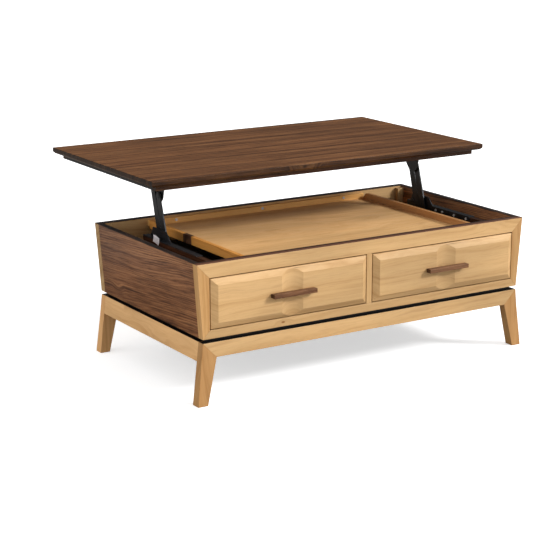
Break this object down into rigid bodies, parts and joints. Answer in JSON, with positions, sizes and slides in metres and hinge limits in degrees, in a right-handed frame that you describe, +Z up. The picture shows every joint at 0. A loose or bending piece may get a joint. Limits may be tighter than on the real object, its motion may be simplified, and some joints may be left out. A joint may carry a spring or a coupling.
{
  "type": "lift top coffee table",
  "caption": "Coffee table with a tapered wooden case on a splayed base, raised-panel drawers and a walnut top that swings up and back over a shallow storage tray.",
  "frame": {"origin": "on the floor, midway across the width and midway between the drawer pulls and the rear edge of the raised top", "axes": "+X to the right seen from the drawer side, +Y to the back, +Z up"},
  "size_m": [1.235, 0.956, 0.6287],
  "materials": {
    "walnut": "satin lacquer, grain along the width",
    "walnut_panel": "satin lacquer, figured grain from front to back",
    "alder": "satin lacquer",
    "alder_interior": "thin satin lacquer",
    "black_painted_wood": "satin black paint",
    "black_steel": "satin black powder coat",
    "tag_paper": "blank white coated paper",
    "zinc_steel": "bright zinc plate"
  },
  "bodies": {
    "table": {"base_corner_blocks": "alder_interior", "base_pivot_pins": "black_steel", "case_bottom": "alder_interior", "case_screws": "zinc_steel", "case_side_left": "walnut_panel", "case_side_right": "walnut_panel", "centre_divider": "alder_interior", "drawer_slide_rails": "zinc_steel", "front_apron": "alder", "front_bottom_rail": "alder", "front_centre_stile": "alder", "front_leg_left": "alder", "front_leg_right": "alder", "front_stile_left": "alder", "front_stile_right": "alder", "front_top_rail": "alder", "lift_base_plate_left": "black_steel", "lift_base_plate_right": "black_steel", "lift_runners": "walnut_panel", "lift_stop_pins": "black_steel", "mechanism_shelf": "black_painted_wood", "rear_apron": "alder", "rear_corner_blocks": "alder_interior", "rear_leg_left": "alder", "rear_leg_right": "alder", "rear_panel": "alder", "recessed_plinth": "black_painted_wood", "rim_edging": "black_painted_wood", "side_apron_left": "alder", "side_apron_right": "alder", "tray_bearers": "alder_interior", "tray_floor": "alder_interior", "tray_front_cleat": "alder_interior", "tray_rear_cleat": "alder_interior", "tray_wall_inset": "walnut_panel", "tray_wall_left": "alder_interior", "tray_wall_right": "alder_interior"},
    "drawer_left": {"drawer_bottom_left": "alder_interior", "drawer_box_left": "alder_interior", "drawer_front_left": "alder", "drawer_pull_left": "walnut", "drawer_slide_channels_left": "zinc_steel"},
    "drawer_right": {"drawer_bottom_right": "alder_interior", "drawer_box_right": "alder_interior", "drawer_front_right": "alder", "drawer_pull_right": "walnut", "drawer_slide_channels_right": "zinc_steel"},
    "top": {"lift_top_bracket_left": "black_steel", "lift_top_bracket_right": "black_steel", "neck_front_rail": "walnut", "neck_rear_rail": "walnut", "neck_side_rail_left": "black_painted_wood", "neck_side_rail_right": "black_painted_wood", "top_bracket_screws": "zinc_steel", "top_pivot_pins": "black_steel", "top_slab": "walnut"},
    "front_link_left_body": {"front_link_left": "black_steel"},
    "front_link_right_body": {"front_link_right": "black_steel"},
    "rear_link_left_body": {"rear_link_left": "black_steel"},
    "rear_link_right_body": {"rear_link_right": "black_steel"}
  },
  "joints": [
    {"name": "lift", "type": "hinge", "parent": "table", "child": "front_link_left_body", "pos_m": [-0.493, -0.07432, 0.35562], "axis": [1, 0, 0], "range_deg": [0, 102]},
    {"name": "front_link_right_turn", "type": "hinge", "parent": "table", "child": "front_link_right_body", "pos_m": [0.493, -0.07432, 0.35562], "axis": [1, 0, 0], "range_deg": [0, 102]},
    {"name": "rear_link_left_turn", "type": "hinge", "parent": "table", "child": "rear_link_left_body", "pos_m": [-0.493, -0.03692, 0.38082], "axis": [1, 0, 0], "range_deg": [0, 102]},
    {"name": "rear_link_right_turn", "type": "hinge", "parent": "table", "child": "rear_link_right_body", "pos_m": [0.493, -0.03692, 0.38082], "axis": [1, 0, 0], "range_deg": [0, 102]},
    {"name": "top_level", "type": "hinge", "parent": "front_link_left_body", "child": "top", "pos_m": [-0.493, -0.01795, 0.54], "axis": [1, 0, 0], "range_deg": [-102, 0]},
    {"name": "drawer_left_slide", "type": "slide", "parent": "table", "child": "drawer_left", "axis": [0, -1, 0], "range_m": [0, 0.38]},
    {"name": "drawer_right_slide", "type": "slide", "parent": "table", "child": "drawer_right", "axis": [0, -1, 0], "range_m": [0, 0.38]}
  ],
  "couplings": [
    {"joint": "front_link_right_turn", "follows": "lift", "ratio": 1},
    {"joint": "rear_link_left_turn", "follows": "lift", "ratio": 1},
    {"joint": "rear_link_right_turn", "follows": "lift", "ratio": 1},
    {"joint": "top_level", "follows": "lift", "ratio": -1}
  ]
}
